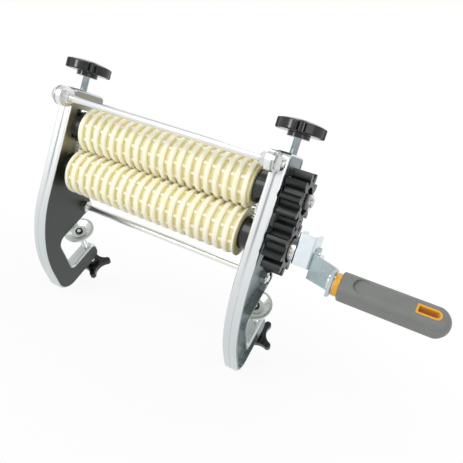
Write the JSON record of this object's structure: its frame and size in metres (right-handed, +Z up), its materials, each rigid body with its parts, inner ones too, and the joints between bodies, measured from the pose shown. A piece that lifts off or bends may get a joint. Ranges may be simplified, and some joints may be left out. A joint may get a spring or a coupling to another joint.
{
  "type": "pasta roller machine",
  "caption": "Hand-cranked kitchen roller with interlocking ringed rollers between C-shaped side plates that clamp to a table edge.",
  "frame": {"origin": "midway between the clamp jaws, on the jaw plane where the clamp screws point", "axes": "+X along the rollers toward the crank, +Y to the back, +Z up along the side plates"},
  "size_m": [0.4797, 0.2282, 0.2928],
  "materials": {
    "polished_aluminium": "polished casting",
    "cream_nylon": "smooth turned nylon",
    "black_nylon": "satin moulded nylon",
    "black_plastic": "glossy moulded plastic",
    "zinc_steel": "bright zinc plating",
    "shaft_steel": "ground steel",
    "spring_steel": "drawn wire",
    "grey_rubber": "soft satin",
    "orange_plastic": "moulded plastic"
  },
  "bodies": {
    "frame": {"left_side_plate": "polished_aluminium", "right_side_plate": "polished_aluminium", "top_tie_rod": "zinc_steel", "lower_tie_rod": "zinc_steel", "tie_rod_nuts": "zinc_steel", "left_lower_bearing": "black_nylon", "right_lower_bearing": "black_nylon", "left_return_spring": "spring_steel", "right_return_spring": "spring_steel"},
    "carriage": {"left_upper_bearing": "black_nylon", "right_upper_bearing": "black_nylon"},
    "upper_roller": {"upper_shaft": "shaft_steel", "upper_roller": "cream_nylon", "upper_gear": "black_nylon", "upper_gear_key": "shaft_steel", "upper_gear_washer": "zinc_steel", "upper_gear_nut": "zinc_steel"},
    "crank": {"lower_shaft": "shaft_steel", "lower_roller": "cream_nylon", "lower_gear": "black_nylon", "lower_gear_key": "shaft_steel", "crank_spacer": "zinc_steel", "crank_bracket": "zinc_steel", "crank_arm": "zinc_steel", "crank_washer": "zinc_steel", "crank_bolt": "zinc_steel", "handle_spindle": "zinc_steel"},
    "handle": {"handle_core": "orange_plastic", "handle_grip": "grey_rubber"},
    "left_adjuster": {"left_adjusting_screw": "zinc_steel", "left_adjusting_knob": "black_plastic"},
    "left_clamp_pad": {"left_clamp_pad": "zinc_steel"},
    "left_clamp_screw": {"left_clamp_screw": "zinc_steel", "left_clamp_knob": "black_plastic", "left_clamp_pad_ring": "zinc_steel"},
    "right_adjuster": {"right_adjusting_screw": "zinc_steel", "right_adjusting_knob": "black_plastic"},
    "right_clamp_pad": {"right_clamp_pad": "zinc_steel"},
    "right_clamp_screw": {"right_clamp_screw": "zinc_steel", "right_clamp_knob": "black_plastic", "right_clamp_pad_ring": "zinc_steel"}
  },
  "joints": [
    {"name": "crank_turn", "type": "hinge", "parent": "frame", "child": "crank", "pos_m": [0, -0.0403, 0.0702], "axis": [1, 0, 0], "continuous": true},
    {"name": "roller_gap", "type": "slide", "parent": "frame", "child": "carriage", "axis": [0, 0, 1], "range_m": [0, 0.005], "deforming": ["left_return_spring", "right_return_spring"]},
    {"name": "upper_roller_turn", "type": "hinge", "parent": "carriage", "child": "upper_roller", "pos_m": [0, -0.0403, 0.1212], "axis": [1, 0, 0], "continuous": true},
    {"name": "grip_spin", "type": "hinge", "parent": "crank", "child": "handle", "pos_m": [0.231, -0.1283, 0.0702], "axis": [1, 0, 0], "continuous": true},
    {"name": "left_adjuster_turn", "type": "hinge", "parent": "carriage", "child": "left_adjuster", "pos_m": [-0.1347, -0.0403, 0.1622], "axis": [0, 0, 1], "range_deg": [0, 1440]},
    {"name": "left_pad_slide", "type": "slide", "parent": "frame", "child": "left_clamp_pad", "axis": [0, 0.7071, -0.7071], "range_m": [-0.0065, 0.0245]},
    {"name": "left_clamp_turn", "type": "hinge", "parent": "left_clamp_pad", "child": "left_clamp_screw", "pos_m": [-0.1322, 0, 0], "axis": [0, 0.7071, -0.7071], "range_deg": [-1872, 7056]},
    {"name": "right_adjuster_turn", "type": "hinge", "parent": "carriage", "child": "right_adjuster", "pos_m": [0.1347, -0.0403, 0.1622], "axis": [0, 0, 1], "range_deg": [0, 1440]},
    {"name": "right_pad_slide", "type": "slide", "parent": "frame", "child": "right_clamp_pad", "axis": [0, 0.7071, -0.7071], "range_m": [-0.0065, 0.0245]},
    {"name": "right_clamp_turn", "type": "hinge", "parent": "right_clamp_pad", "child": "right_clamp_screw", "pos_m": [0.1322, 0, 0], "axis": [0, 0.7071, -0.7071], "range_deg": [-1872, 7056]}
  ],
  "couplings": [
    {"joint": "upper_roller_turn", "follows": "crank_turn", "ratio": -1},
    {"joint": "left_clamp_turn", "follows": "left_pad_slide", "rad_per_m": 5026.5},
    {"joint": "left_adjuster_turn", "follows": "roller_gap", "rad_per_m": 5026.5},
    {"joint": "right_clamp_turn", "follows": "right_pad_slide", "rad_per_m": 5026.5},
    {"joint": "right_adjuster_turn", "follows": "roller_gap", "rad_per_m": 5026.5}
  ]
}
